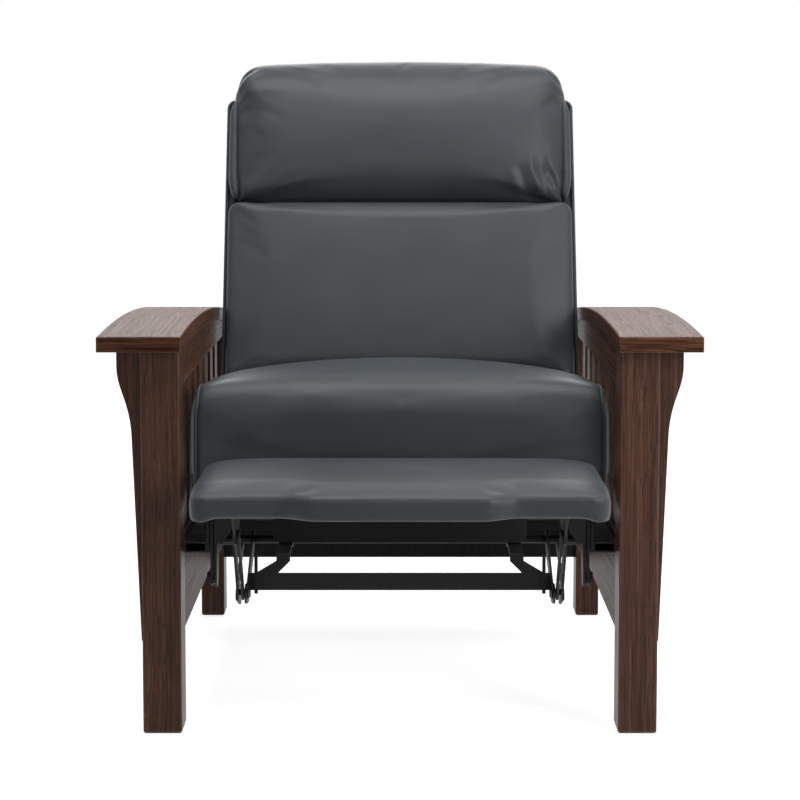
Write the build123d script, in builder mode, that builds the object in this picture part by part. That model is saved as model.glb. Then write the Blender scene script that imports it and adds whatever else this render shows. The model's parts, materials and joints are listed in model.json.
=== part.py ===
from build123d import *
from math import atan2, cos, degrees, hypot, radians, sin, sqrt
import os

os.makedirs("parts", exist_ok=True)

# A bow-arm reclining armchair, footrest out and back up, in millimetres.
# The chair faces -Y, the floor is Z = 0, and right, as seen from the front, is +X.
# Depths are measured back from the front legs' front faces, heights from the floor.

# Driving dimensions: the wood side frames
overall_width = 870.0
arm_width = 121.5
arm_thickness = 22.4
arm_length = 800.0
arm_overhang = 20.0
arm_front_height = 587.0
arm_mid_rise = 2.2
arm_rear_drop = 32.5
arm_edge_chamfer = 1.5
arm_reveal = 5.0
front_leg_width = 56.5
front_leg_depth = 60.0
back_leg_width = 41.0
back_leg_depth = 56.0
back_leg_front = 720.0
leg_edge_chamfer = 1.5
leg_foot_chamfer = 3.0
glide_height = 2.0
glide_radius = 12.0
glide_sides = 12
rail_thickness = 24.0
lower_rail_bottom = 146.0
lower_rail_top = 290.0
upper_rail_bottom = 512.0
rail_edge_chamfer = 1.5
slat_count = 7
slat_width = 46.0
slat_thickness = 12.0
slat_setback = 6.0
slat_tenon = 10.0
slat_fit = 0.2
corbel_width = 36.0
corbel_foot_width = 3.0
corbel_waist_width = 15.0
corbel_head = 24.0
corbel_waist_drop = 128.0
corbel_length = 430.0
corbel_thickness = 24.0
corbel_setback = 16.0
rear_rail_bottom = 107.0
rear_rail_height = 82.0
rear_rail_setback = 10.0

# Driving dimensions: seat, footrest and back
seat_front = 48.0
seat_rear_setback = 50.0
seat_rear_lean = 36.0
seat_side_gap = 6.5
seat_front_bottom = 352.0
seat_top = 507.0
seat_crown = 13.0
seat_side_drop = 13.0
seat_gap = 0.4
footrest_front = 264.0
footrest_rear = 14.0
footrest_side_gap = 35.0
footrest_nose_drop = 24.0
footrest_nose_half = 118.0
footrest_step = 34.0
board_bottom = 363.0
board_thickness = 12.0
board_inset = 22.0
footrest_top = 402.0
footrest_crown = 7.0
back_tilt = 19.8
back_side_gap = 13.5
back_top = 520.0
back_bottom = 25.0
lumbar_bottom = 28.0
lumbar_top = 336.0
lumbar_inset = 11.0
lumbar_depth = 44.0
lumbar_crown = 9.0
pillow_top = 606.0
pillow_inset = 15.0
pillow_front = 62.0
pillow_rear = 74.0
pillow_wrap = 8.0

# Driving dimensions: the steel mechanism
plate = 3.0
base_tube_width = 32.0
base_tube_height = 15.0
base_tube_wall = 2.0
base_tube_bottom = 258.0
base_tube_front = 61.0
base_tube_rear = 690.0
hanger_plate = 4.0
carriage_plate_thickness = 4.0
side_gap = 1.5
pin_clearance = 0.05
swing_length = 78.0
swing_pin_radius = 5.0
swing_half = 13.0
swing_front = 75.0
swing_rear_setback = 100.0
swing_top = 296.0
recline_depth = 500.0
recline_height = 428.0
rear_link_length = 128.0
rear_link_angle = 205.0
rear_link_depth = 108.0
rear_link_height = 268.0
front_arm_offset = 28.0
rear_arm_offset = 32.0
bracket_setback = 94.0
bracket_drop = 50.0
link_set_in = 52.5
link_half = 14.0
control_half = 9.0
rivet_radius = 4.5
rivet_head = 7.5
rivet_head_height = 2.4
pivot_rod_radius = 6.0
footrest_swing = 90.0
recline_swing = 28.0

# Places that follow from those
leg_front_y = (footrest_front - (arm_length - arm_overhang)) / 2
outer_half = overall_width / 2
arm_inner_half = outer_half - arm_width
leg_inner_half = arm_inner_half + arm_reveal
seat_half = leg_inner_half - seat_side_gap
footrest_half = leg_inner_half - footrest_side_gap
back_half = leg_inner_half - back_side_gap
lumbar_half = back_half - lumbar_inset
pillow_half = back_half - pillow_inset
seat_rear_low = recline_depth - seat_rear_setback
seat_rear_high = seat_rear_low + seat_rear_lean
swing_rear = recline_depth - swing_rear_setback
back_leg_rear = back_leg_front + back_leg_depth
arm_rear = arm_length - arm_overhang


def side(depth, height):
    """A point of the side view, as (Y, Z)."""
    return (leg_front_y + depth, height)


def polar(point, length, angle):
    """The point at a length and an angle from another, in the side view."""
    return (point[0] + length * cos(radians(angle)), point[1] + length * sin(radians(angle)))


def moved(point, offset):
    return (point[0] + offset[0], point[1] + offset[1])


def finish(piece, name):
    """Labels a piece and writes its file."""
    piece.part.label = name
    export_step(piece.part, f"parts/{name}.step")


def finish_pair(piece, name):
    """Writes a right-hand piece and its mirror image on the left."""
    finish(piece, f"{name}_right")
    with BuildPart() as twin:
        mirror(piece.part, about=Plane.YZ)
    finish(twin, f"{name}_left")


# The arm's bow: one circle through its front edge, its middle and its rear edge
bow_chord = hypot(arm_length, arm_rear_drop)
bow_sagitta = arm_mid_rise + arm_rear_drop / 2
bow_radius = (bow_chord**2 / 4 + bow_sagitta**2) / (2 * bow_sagitta)
bow_slope = atan2(arm_rear_drop, arm_length)
bow_depth = arm_length / 2 - arm_overhang - (bow_radius - bow_sagitta) * sin(bow_slope)
bow_height = (arm_front_height - arm_rear_drop / 2) - (bow_radius - bow_sagitta) * cos(bow_slope)


def arm_top(depth):
    return bow_height + sqrt(bow_radius**2 - (depth - bow_depth) ** 2)


def arm_under(depth):
    return bow_height + sqrt((bow_radius - arm_thickness) ** 2 - (depth - bow_depth) ** 2)


def under_arm(depth_0, depth_1, bottom):
    """The side outline of a piece that stands on its bottom and ends under the bowed arm."""
    middle = (depth_0 + depth_1) / 2
    Polyline(
        side(depth_0, arm_under(depth_0)),
        side(depth_0, bottom),
        side(depth_1, bottom),
        side(depth_1, arm_under(depth_1)),
    )
    ThreePointArc(
        side(depth_0, arm_under(depth_0)),
        side(middle, arm_under(middle)),
        side(depth_1, arm_under(depth_1)),
    )


# Arm: a wide board, bowed along its length
with BuildPart() as arm:
    with BuildSketch(Plane.YZ.offset(arm_inner_half)):
        with BuildLine():
            mid = arm_length / 2 - arm_overhang
            ThreePointArc(
                side(-arm_overhang, arm_top(-arm_overhang)),
                side(mid, arm_top(mid)),
                side(arm_rear, arm_top(arm_rear)),
            )
            Line(side(arm_rear, arm_top(arm_rear)), side(arm_rear, arm_under(arm_rear)))
            ThreePointArc(
                side(arm_rear, arm_under(arm_rear)),
                side(mid, arm_under(mid)),
                side(-arm_overhang, arm_under(-arm_overhang)),
            )
            Line(
                side(-arm_overhang, arm_under(-arm_overhang)),
                side(-arm_overhang, arm_top(-arm_overhang)),
            )
        make_face()
    extrude(amount=arm_width)
    chamfer(arm.edges().filter_by(Axis.Z), length=arm_edge_chamfer)
    chamfer(arm.faces().sort_by(Axis.Z)[-1].edges(), length=arm_edge_chamfer)
finish_pair(arm, "arm")

# Front leg: a square post that ends under the arm
with BuildPart() as front_leg:
    with BuildSketch(Plane.YZ.offset(leg_inner_half)):
        with BuildLine():
            under_arm(0, front_leg_depth, glide_height)
        make_face()
    extrude(amount=front_leg_width)
    chamfer(front_leg.faces().sort_by(Axis.Z)[0].edges(), length=leg_foot_chamfer)
    chamfer(front_leg.edges().filter_by(Axis.Z), length=leg_edge_chamfer)
finish_pair(front_leg, "front_leg")

# Back leg: a slimmer post, flush with the front one on its inner face
with BuildPart() as back_leg:
    with BuildSketch(Plane.YZ.offset(leg_inner_half)):
        with BuildLine():
            under_arm(back_leg_front, back_leg_rear, glide_height)
        make_face()
    extrude(amount=back_leg_width)
    chamfer(back_leg.faces().sort_by(Axis.Z)[0].edges(), length=leg_foot_chamfer)
    chamfer(back_leg.edges().filter_by(Axis.Z), length=leg_edge_chamfer)
finish_pair(back_leg, "back_leg")

# Slats stand in mortises of the two side rails
slat_span = back_leg_front - front_leg_depth
slat_gap = (slat_span - slat_count * slat_width) / (slat_count + 1)
slat_inner_half = leg_inner_half + slat_setback
slat_centres = [
    front_leg_depth + slat_gap + slat_width / 2 + i * (slat_width + slat_gap)
    for i in range(slat_count)
]


def slat_row(grow, mode):
    """Makes or cuts the row of slats, grown all round by a fit, with tenons into both rails."""
    height = upper_rail_bottom - lower_rail_top + 2 * slat_tenon
    with BuildSketch(Plane.YZ.offset(slat_inner_half - grow)) as row:
        for centre in slat_centres:
            with Locations(side(centre, (lower_rail_top + upper_rail_bottom) / 2)):
                Rectangle(slat_width + 2 * grow, height + 2 * grow)
    extrude(row.sketch, amount=slat_thickness + 2 * grow, mode=mode)


with BuildPart() as slats:
    slat_row(0, Mode.ADD)
    chamfer(slats.edges().filter_by(Axis.Z), length=leg_edge_chamfer)
finish_pair(slats, "slats")

# Lower side rail: a wide board between the legs, mortised for the slats
with BuildPart() as lower_rail:
    with BuildSketch(Plane.YZ.offset(leg_inner_half)):
        with BuildLine():
            Polyline(
                side(front_leg_depth, lower_rail_bottom),
                side(back_leg_front, lower_rail_bottom),
                side(back_leg_front, lower_rail_top),
                side(front_leg_depth, lower_rail_top),
                close=True,
            )
        make_face()
    extrude(amount=rail_thickness)
    chamfer(lower_rail.edges().filter_by(Axis.Y), length=rail_edge_chamfer)
    slat_row(slat_fit, Mode.SUBTRACT)
finish_pair(lower_rail, "lower_side_rail")

# Upper side rail: its top edge follows the arm
with BuildPart() as upper_rail:
    with BuildSketch(Plane.YZ.offset(leg_inner_half)):
        with BuildLine():
            under_arm(front_leg_depth, back_leg_front, upper_rail_bottom)
        make_face()
    extrude(amount=rail_thickness)
    slat_row(slat_fit, Mode.SUBTRACT)
finish_pair(upper_rail, "upper_side_rail")

# Corbel: a tapered bracket on the front leg's outer face, under the arm
corbel_face = leg_inner_half + front_leg_width
corbel_top = min(arm_under(corbel_setback), arm_under(corbel_setback + corbel_thickness))
corbel_curve_shares = (0.36, 0.12, 0.52)
with BuildPart() as corbel:
    with BuildSketch(Plane.XZ.offset(-(leg_front_y + corbel_setback))):
        with BuildLine():
            head = (corbel_face + corbel_width, corbel_top - corbel_head)
            waist = (corbel_face + corbel_waist_width, corbel_top - corbel_waist_drop)
            foot = (corbel_face + corbel_foot_width, corbel_top - corbel_length)
            Polyline(foot, (corbel_face, foot[1]), (corbel_face, corbel_top), (head[0], corbel_top), head)
            reach = corbel_waist_drop - corbel_head
            head_share, across_share, waist_share = corbel_curve_shares
            across = (head[0] - waist[0]) * across_share
            Bezier(
                head,
                (head[0], head[1] - reach * head_share),
                (waist[0] + across, waist[1] + reach * waist_share),
                waist,
            )
            Line(waist, foot)
        make_face()
    extrude(amount=-corbel_thickness)
finish_pair(corbel, "corbel")

# Rear cross rail joins the back legs low down
with BuildPart() as rear_rail:
    with BuildSketch(Plane.XY.offset(rear_rail_bottom)):
        with Locations((0, leg_front_y + back_leg_front + rear_rail_setback + rail_thickness / 2)):
            Rectangle(2 * leg_inner_half, rail_thickness)
    extrude(amount=rear_rail_height)
    chamfer(rear_rail.edges().filter_by(Axis.X), length=rail_edge_chamfer)
finish(rear_rail, "rear_cross_rail")

# Glides under the four legs, twelve-sided discs
leg_centres = [
    (leg_inner_half + front_leg_width / 2, leg_front_y + front_leg_depth / 2),
    (leg_inner_half + back_leg_width / 2, leg_front_y + back_leg_front + back_leg_depth / 2),
]
with BuildPart() as glides:
    for x, y in leg_centres:
        with BuildSketch():
            with Locations((x, y), (-x, y)):
                RegularPolygon(glide_radius, side_count=glide_sides)
        extrude(amount=glide_height)
finish(glides, "leg_glides")

# Layers of the side steelwork, from the carriage plate outwards
carriage_outer = leg_inner_half - base_tube_width - hanger_plate - 2 * side_gap - hanger_plate
carriage_inner = carriage_outer - carriage_plate_thickness
swing_inner = carriage_outer + side_gap
swing_outer = swing_inner + hanger_plate
hanger_inner = swing_outer + side_gap
hanger_outer = hanger_inner + hanger_plate
base_inner = hanger_outer
swing_bottom = swing_top - swing_length
recline_pivot = side(recline_depth, recline_height)
seat_pivot = side(recline_depth, recline_height - swing_length)
link_inner = carriage_inner - link_set_in
swing_tops = [side(swing_front, swing_top), side(swing_rear, swing_top)]
swing_bottoms = [side(swing_front, swing_bottom), side(swing_rear, swing_bottom)]


strap_end_angles = (-90.0, -54.0, -18.0, 18.0, 54.0, 90.0)


def strap(points, half_width):
    """A strap of even width along the points, in the sketch that is open. Its ends are half
    decagons, with their corners on the circle of the half width."""
    for a, b in zip(points, points[1:]):
        ahead = degrees(atan2(b[1] - a[1], b[0] - a[0]))
        corners = [polar(b, half_width, ahead + angle) for angle in strap_end_angles]
        corners += [polar(a, half_width, ahead + 180 + angle) for angle in strap_end_angles]
        Polygon(*corners, align=None)


def pin_holes(points, radius):
    for point in points:
        with Locations(point):
            Circle(radius + pin_clearance, mode=Mode.SUBTRACT)


def pins(points, x_0, x_1, radius):
    """Pins along X, riveted into the plate that is open and flush at their far ends."""
    with BuildSketch(Plane.YZ.offset(x_0)) as rounds:
        with Locations(*points):
            Circle(radius)
    extrude(rounds.sketch, amount=x_1 - x_0)


def hex_heads(points, x_0, x_1, radius):
    """Hexagon heads along X on pins at the points."""
    with BuildSketch(Plane.YZ.offset(x_0)) as heads:
        with Locations(*points):
            RegularPolygon(radius, side_count=6)
    extrude(heads.sketch, amount=x_1 - x_0)


# Base rail: a rectangular tube screwed to the lower side rail, with three welded hanger
# plates. Two carry the swing links on riveted pins, the third is bored for the back's pin.
hanger_half = 15.0
bolt_head_radius = 8.0
bolt_head_height = 4.0
with BuildPart() as base_rail:
    base_middle = (base_inner + leg_inner_half) / 2
    base_z = base_tube_bottom + base_tube_height / 2
    with BuildSketch(Plane.XZ.offset(-(leg_front_y + base_tube_front))):
        with Locations((base_middle, base_z)):
            Rectangle(base_tube_width, base_tube_height)
            Rectangle(
                base_tube_width - 2 * base_tube_wall,
                base_tube_height - 2 * base_tube_wall,
                mode=Mode.SUBTRACT,
            )
    extrude(amount=-(base_tube_rear - base_tube_front))
    with BuildSketch(Plane.YZ.offset(hanger_inner)):
        for y, z in swing_tops + [recline_pivot]:
            strap([(y, base_tube_bottom + hanger_half), (y, z)], hanger_half)
            with Locations((y, base_tube_bottom + hanger_half / 2)):
                Rectangle(2 * hanger_half, hanger_half)
        pin_holes([recline_pivot], swing_pin_radius)
    extrude(amount=hanger_plate)
    pins(swing_tops, hanger_inner, swing_inner, swing_pin_radius)
    hex_heads(swing_tops, hanger_outer, hanger_outer + bolt_head_height, bolt_head_radius)
finish_pair(base_rail, "base_rail")

# Cross tubes tie the two base rails together
cross_tube_depths = [240.0, 600.0]
with BuildPart() as cross_tubes:
    for depth in cross_tube_depths:
        with BuildSketch(Plane.YZ.offset(-base_inner)):
            with Locations(side(depth, base_z)):
                Rectangle(base_tube_height, base_tube_height)
                inside = base_tube_height - 2 * base_tube_wall
                Rectangle(inside, inside, mode=Mode.SUBTRACT)
        extrude(amount=2 * base_inner)
finish(cross_tubes, "base_cross_tubes")


# Swing links: the seat carriage hangs from the frame on two links a side
for swing_name, top, bottom in zip(("front", "rear"), swing_tops, swing_bottoms):
    with BuildPart() as swing_links:
        for sign in (1, -1):
            with BuildSketch(Plane.YZ.offset(sign * swing_inner)):
                strap([top, bottom], swing_half)
                pin_holes([top, bottom], swing_pin_radius)
            extrude(amount=sign * hanger_plate)
    finish(swing_links, f"swing_links_{swing_name}")

# The footrest linkage's pivots: two parallelograms that share the knee.
# The first holds the front link upright in its place, the second turns the footrest with the
# rear link, so a quarter turn of the rear link folds the footrest down by a quarter turn.
pivot_a = side(rear_link_depth, rear_link_height)
knee = polar(pivot_a, rear_link_length, rear_link_angle)
toe = side(footrest_rear - bracket_setback, board_bottom - bracket_drop)
front_link_angle = degrees(atan2(toe[1] - knee[1], toe[0] - knee[0]))
front_link_length = hypot(toe[0] - knee[0], toe[1] - knee[1])
half_sweep = footrest_swing / 2
seat_offset = polar((0, 0), front_arm_offset, rear_link_angle + half_sweep + 90 - 360)
foot_offset = polar((0, 0), rear_arm_offset, front_link_angle + 90 - half_sweep)
pivot_b = moved(pivot_a, seat_offset)
heel = moved(knee, seat_offset)
tail = moved(knee, foot_offset)
tip = moved(toe, foot_offset)

# The links lie side by side, each on its own layer
link_pitch = plate + side_gap
rear_link_x = link_inner
foot_control_x = link_inner + link_pitch
bracket_x = link_inner + 2 * link_pitch
front_link_x = link_inner + 3 * link_pitch
seat_control_x = link_inner + 4 * link_pitch

# Rear link: a cranked plate from the pivot rod through the knee to the tail, with the
# rivets at its knee and tail that the front link and the foot control turn on
with BuildPart() as rear_link:
    with BuildSketch(Plane.YZ.offset(rear_link_x)):
        strap([pivot_a, knee, tail], link_half)
        pin_holes([pivot_a], pivot_rod_radius)
    extrude(amount=plate)
    pins([knee], rear_link_x + plate, front_link_x + plate, rivet_radius)
    pins([tail], rear_link_x + plate, foot_control_x + plate, rivet_radius)
    hex_heads([knee, tail], rear_link_x, rear_link_x - rivet_head_height, rivet_head)
finish_pair(rear_link, "rear_link")

# Front link: a plate from the heel through the knee up to the footrest bracket, with the
# rivet at its heel for the seat control
with BuildPart() as front_link:
    with BuildSketch(Plane.YZ.offset(front_link_x)):
        strap([heel, knee, toe], link_half)
        with BuildLine():
            Polyline(heel, knee, polar(knee, front_link_length / 2, front_link_angle), close=True)
        make_face()
        pin_holes([knee, toe], rivet_radius)
    extrude(amount=plate)
    pins([heel], front_link_x + plate, seat_control_x + plate, rivet_radius)
finish_pair(front_link, "front_link")

# Control links close the two parallelograms
with BuildPart() as seat_controls:
    for sign in (1, -1):
        with BuildSketch(Plane.YZ.offset(sign * seat_control_x)):
            strap([pivot_b, heel], control_half)
            pin_holes([pivot_b, heel], rivet_radius)
        extrude(amount=sign * plate)
finish(seat_controls, "seat_control_links")

with BuildPart() as foot_controls:
    for sign in (1, -1):
        with BuildSketch(Plane.YZ.offset(sign * foot_control_x)):
            strap([tail, tip], control_half)
            pin_holes([tail, tip], rivet_radius)
        extrude(amount=sign * plate)
finish(foot_controls, "foot_control_links")

# Crossbar: an upright flat bar between the rear links, with slanted struts at its ends
# that rise to two tabs, bent back to eyes on the pivot rod. A stop finger stands on its
# front near each end.
bar_thickness = 4.0
bar_height = 25.0
bar_bottom = 213.0
bar_depth = 9.0
strut_set_in = 39.0
strut_width = 20.0
strut_rise = 30.0
tab_height = 12.0
eye_radius = 11.0
finger_set_in = 12.0
finger_width = 5.0
finger_drop = 4.5
finger_rise = 27.0
strut_top = link_inner - strut_set_in
bar_top = bar_bottom + bar_height
tab_z = bar_top + strut_rise
with BuildPart() as crossbar:
    with BuildSketch(Plane.XZ.offset(-(leg_front_y + bar_depth))):
        with Locations((0, bar_bottom + bar_height / 2)):
            Rectangle(2 * link_inner, bar_height)
        for sign in (1, -1):
            with BuildLine():
                Polyline(
                    (sign * (strut_top + strut_rise), bar_top),
                    (sign * (strut_top + strut_rise), bar_bottom),
                    (sign * (strut_top - strut_width), bar_bottom),
                    (sign * (strut_top + strut_rise - strut_width - tab_height), bar_top),
                    (sign * (strut_top - strut_width), bar_top + strut_rise - tab_height),
                    (sign * (strut_top - strut_width), tab_z),
                    (sign * strut_top, tab_z),
                    (sign * strut_top, bar_top + strut_rise - tab_height),
                    close=True,
                )
            make_face()
    extrude(amount=-bar_thickness)
    with BuildSketch(Plane.XZ.offset(-(leg_front_y + bar_depth - plate))):
        for sign in (1, -1):
            finger_x = sign * (link_inner - finger_set_in + finger_width / 2)
            with Locations((finger_x, bar_bottom + (bar_height + finger_rise - finger_drop) / 2)):
                Rectangle(finger_width, bar_height + finger_rise + finger_drop)
    extrude(amount=-plate)
    for sign in (1, -1):
        with BuildSketch(Plane.YZ.offset(sign * (strut_top - strut_width))):
            arm_start = side(bar_depth + bar_thickness / 2, tab_z - bar_thickness / 2)
            strap([arm_start, pivot_a], bar_thickness / 2)
            with Locations(pivot_a):
                RegularPolygon(eye_radius, side_count=8)
            pin_holes([pivot_a], pivot_rod_radius)
        extrude(amount=sign * strut_width)
finish(crossbar, "crossbar")

# Footrest bracket: a plate with a flange along its top, screwed under the footrest board,
# with the rivets at its toe and tip
bracket_front = 150.0
bracket_rear = 34.0
flange_width = 24.0
with BuildPart() as footrest_bracket:
    with BuildSketch(Plane.YZ.offset(bracket_x)):
        strap([tip, toe], link_half)
        with BuildLine():
            rear_top = side(footrest_rear - bracket_rear, board_bottom)
            front_top = side(footrest_rear - bracket_rear - bracket_front, board_bottom)
            Polyline(
                rear_top,
                front_top,
                (front_top[0], board_bottom - plate),
                (tip[0] - link_half, tip[1]),
                (toe[0] + link_half, toe[1]),
                (rear_top[0], board_bottom - plate),
                close=True,
            )
        make_face()
    extrude(amount=plate)
    pins([toe], bracket_x + plate, front_link_x + plate, rivet_radius)
    pins([tip], bracket_x, foot_control_x, rivet_radius)
    with BuildSketch(Plane.XY.offset(board_bottom - plate)):
        with BuildLine():
            Polyline(
                (bracket_x, rear_top[0]),
                (bracket_x + flange_width, rear_top[0]),
                (bracket_x + flange_width, front_top[0]),
                (bracket_x, front_top[0]),
                close=True,
            )
        make_face()
    extrude(amount=plate)
finish_pair(footrest_bracket, "footrest_bracket")

# Footrest board under the padding
with BuildPart() as footrest_board:
    with BuildSketch(Plane.XY.offset(board_bottom)):
        with BuildLine():
            inner = footrest_half - board_inset
            front_edge = leg_front_y - footrest_front + footrest_nose_drop + board_inset
            rear_edge = leg_front_y + footrest_rear - board_inset / 2
            Polyline(
                (inner, rear_edge),
                (inner, front_edge),
                (-inner, front_edge),
                (-inner, rear_edge),
                close=True,
            )
        make_face()
    extrude(amount=board_thickness)
finish(footrest_board, "footrest_board")


end_angles = (0.0, 40.0, 85.0)


def pad_stations(half, radius, shares):
    """Places across a pad, as (x, inset): shares of its half width, then round over its ends."""
    right = [(half * share, 0.0) for share in shares]
    for angle in end_angles:
        turn = radians(angle)
        right.append((half - radius * (1 - sin(turn)), radius * (1 - cos(turn))))
    return [(-x, inset) for x, inset in reversed(right) if x > 0] + right


def pad_loft(outline, stations, plane_at):
    """A stuffed pad through the outlines at its stations, each of lines and short arcs."""
    sections = []
    for x, inset in stations:
        with BuildSketch(plane_at(x)) as section:
            with BuildLine():
                for points in outline(x, inset):
                    if len(points) == 2:
                        Line(*points)
                    else:
                        ThreePointArc(*points)
            make_face()
        sections.append(section.sketch)
    loft(sections=sections, ruled=True)


# Footrest cushion: a crowned pad that wraps the board's edges; its middle stands further forward
pad_bulge = 9.0
footrest_round = 12.0
nose_shares = [footrest_nose_half / footrest_half, (footrest_nose_half + footrest_step) / footrest_half]


def footrest_outline(x, inset):
    step = min(1, max(0, (abs(x) - footrest_nose_half) / footrest_step))
    rear = footrest_rear - pad_bulge - inset
    front = pad_bulge + footrest_nose_drop * step - footrest_front + inset
    low = board_bottom
    high = footrest_top - inset
    half = (low + high) / 2
    return (
        (side(rear, low), side(front, low)),
        (side(front, low), side(front - pad_bulge, half), side(front, high)),
        (side(front, high), side((front + rear) / 2, high + footrest_crown), side(rear, high)),
        (side(rear, high), side(rear + pad_bulge, half), side(rear, low)),
    )


with BuildPart() as footrest_cushion:
    pad_loft(footrest_outline, pad_stations(footrest_half, footrest_round, nose_shares), Plane.YZ.offset)
    add(footrest_board.part, mode=Mode.SUBTRACT)
finish(footrest_cushion, "footrest_cushion")

# Carriage plate: one steel plate a side that carries the seat and both link pivots. Its
# riveted pins are for the swing links, the back bracket and the seat control.
swing_head_height = 6.0
carriage_strip_bottom = 320.0
carriage_strip_top = 352.0
carriage_lobe = 15.0
seat_rail_front = 64.0
seat_rail_setback = 30.0
seat_rail_rear = recline_depth - seat_rail_setback
strip_z = (carriage_strip_bottom + carriage_strip_top) / 2
strip_half = (carriage_strip_top - carriage_strip_bottom) / 2
lug_top = 330.0
lug_bottom = 270.0
lug_width = 22.0
lug_taper = 8.0
lug_root = 12.0
front_rail_front = seat_rail_front + plate
strip_front = side(seat_rail_front + strip_half, strip_z)
strip_rear = side(seat_rail_rear - strip_half, strip_z)
with BuildPart() as carriage_plate:
    with BuildSketch(Plane.YZ.offset(carriage_inner)):
        strap([strip_front, strip_rear], strip_half)
        strap([strip_rear, seat_pivot], carriage_lobe)
        with Locations(side(seat_rail_front + lug_root / 2, (lug_bottom + lug_top) / 2)):
            Rectangle(lug_root, lug_top - lug_bottom)
        for bottom in swing_bottoms:
            strap([bottom, (bottom[0] + carriage_lobe, strip_z)], carriage_lobe)
        strap([pivot_a, (pivot_a[0], strip_z)], carriage_lobe)
        strap([pivot_b, (pivot_b[0], strip_z)], carriage_lobe)
        with BuildLine():
            Polyline(
                swing_bottoms[0],
                pivot_a,
                pivot_b,
                (pivot_b[0] + carriage_lobe, strip_z),
                (swing_bottoms[0][0], strip_z),
                close=True,
            )
        make_face()
        pin_holes([pivot_a], pivot_rod_radius)
    extrude(amount=carriage_plate_thickness)
    pins(swing_bottoms + [seat_pivot], carriage_outer, swing_outer, swing_pin_radius)
    hex_heads(swing_bottoms, swing_outer, swing_outer + swing_head_height, bolt_head_radius)
    pins([pivot_b], carriage_inner, seat_control_x, rivet_radius)
    with BuildSketch(Plane.XZ.offset(-(leg_front_y + seat_rail_front))):
        with BuildLine():
            Polyline(
                (carriage_inner, lug_top),
                (carriage_inner - lug_width, lug_top),
                (carriage_inner - lug_width, lug_bottom + lug_width),
                (carriage_inner - lug_taper, lug_bottom),
                (carriage_inner, lug_bottom),
                close=True,
            )
        make_face()
    extrude(amount=-plate)
finish_pair(carriage_plate, "carriage_plate")

# The rod that the rear links and the crossbar turn on
with BuildPart() as pivot_rod:
    with BuildSketch(Plane.YZ.offset(-carriage_outer)):
        with Locations(pivot_a):
            Circle(pivot_rod_radius)
    extrude(amount=2 * carriage_outer)
finish(pivot_rod, "pivot_rod")

# Seat frame: four rails, the side ones bolted against the carriage plates
seat_rail_bottom = 318.0
seat_rail_top = 375.0
seat_rail_thickness = 24.0


def seat_rail(x_0, x_1, depth_0, depth_1):
    with BuildSketch(Plane.XY.offset(seat_rail_bottom)) as footprint:
        with Locations(((x_0 + x_1) / 2, leg_front_y + (depth_0 + depth_1) / 2)):
            Rectangle(x_1 - x_0, depth_1 - depth_0)
    extrude(footprint.sketch, amount=seat_rail_top - seat_rail_bottom)


rail_outer = carriage_outer + seat_rail_thickness
with BuildPart() as seat_side_rail:
    seat_rail(carriage_outer, rail_outer, seat_rail_front, seat_rail_rear)
finish_pair(seat_side_rail, "seat_side_rail")

with BuildPart() as seat_front_rail:
    front_rail_rear = front_rail_front + seat_rail_thickness
    seat_rail(-carriage_inner, carriage_inner, front_rail_front, front_rail_rear)
finish(seat_front_rail, "seat_front_rail")

with BuildPart() as seat_rear_rail:
    rear_rail_front = seat_rail_rear - seat_rail_thickness
    seat_rail(-carriage_inner, carriage_inner, rear_rail_front, seat_rail_rear)
finish(seat_rear_rail, "seat_rear_rail")

# Webbing: elastic straps over the frame
webbing_width = 50.0
webbing_thickness = 1.6
webbing_count = 5
with BuildPart() as seat_webbing:
    with BuildSketch(Plane.XY.offset(seat_rail_top)):
        with Locations((0, leg_front_y + (front_rail_front + seat_rail_rear) / 2)):
            with GridLocations(2 * carriage_inner / (webbing_count + 1), 0, webbing_count, 1):
                Rectangle(webbing_width, seat_rail_rear - front_rail_front)
    extrude(amount=webbing_thickness)
finish(seat_webbing, "seat_webbing")

# Front panel: a black board under the front of the seat, its lower corners rounded
panel_side_gap = 31.0
panel_bottom = 272.0
panel_top = 345.0
panel_corner = 12.0
panel_thickness = 4.0
panel_half = link_inner - panel_side_gap
with BuildPart() as front_panel:
    with BuildSketch(Plane.XZ.offset(-(leg_front_y + front_rail_front - panel_thickness))):
        with Locations((0, (panel_bottom + panel_top) / 2)):
            Rectangle(2 * panel_half, panel_top - panel_bottom)
    extrude(amount=-panel_thickness)
    fillet(front_panel.edges().filter_by(Axis.Y).group_by(Axis.Z)[0], radius=panel_corner)
finish(front_panel, "front_panel")

# Seat cushion: crowned both ways, its front rolled down over the frame
seat_bottom = seat_rail_top + webbing_thickness + seat_gap
seat_roll_back = seat_rail_front - seat_gap
seat_front_set = 6.0
seat_front_round = 26.0
seat_end_round = 16.0
seat_shares = (0.0, 0.4, 0.75)


def seat_outline(x, inset):
    crown = seat_crown - (seat_crown + seat_side_drop) * (x / seat_half) ** 2
    low = seat_bottom
    high = seat_top - inset
    foot = seat_front_bottom + inset / 2
    front = seat_front + seat_front_set + inset / 2
    shoulder = high - seat_front_round
    bend = seat_front_round * (1 - sqrt(0.5))
    slope = (seat_rear_high - seat_rear_low) / (seat_top - low)
    rear_low = seat_rear_low - inset
    rear_high = rear_low + slope * (high - low)
    return (
        (side(rear_low, low), side(seat_roll_back, low)),
        (side(seat_roll_back, low), side(seat_roll_back, foot)),
        (side(seat_roll_back, foot), side(front, foot)),
        (
            side(front, foot),
            side(front - seat_front_set, (foot + shoulder) / 2),
            side(front, shoulder),
        ),
        (
            side(front, shoulder),
            side(front + bend, high - bend),
            side(front + seat_front_round, high),
        ),
        (
            side(front + seat_front_round, high),
            side((front + rear_high) / 2, high + crown),
            side(rear_high, high),
        ),
        (side(rear_high, high), side(rear_low, low)),
    )


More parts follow.
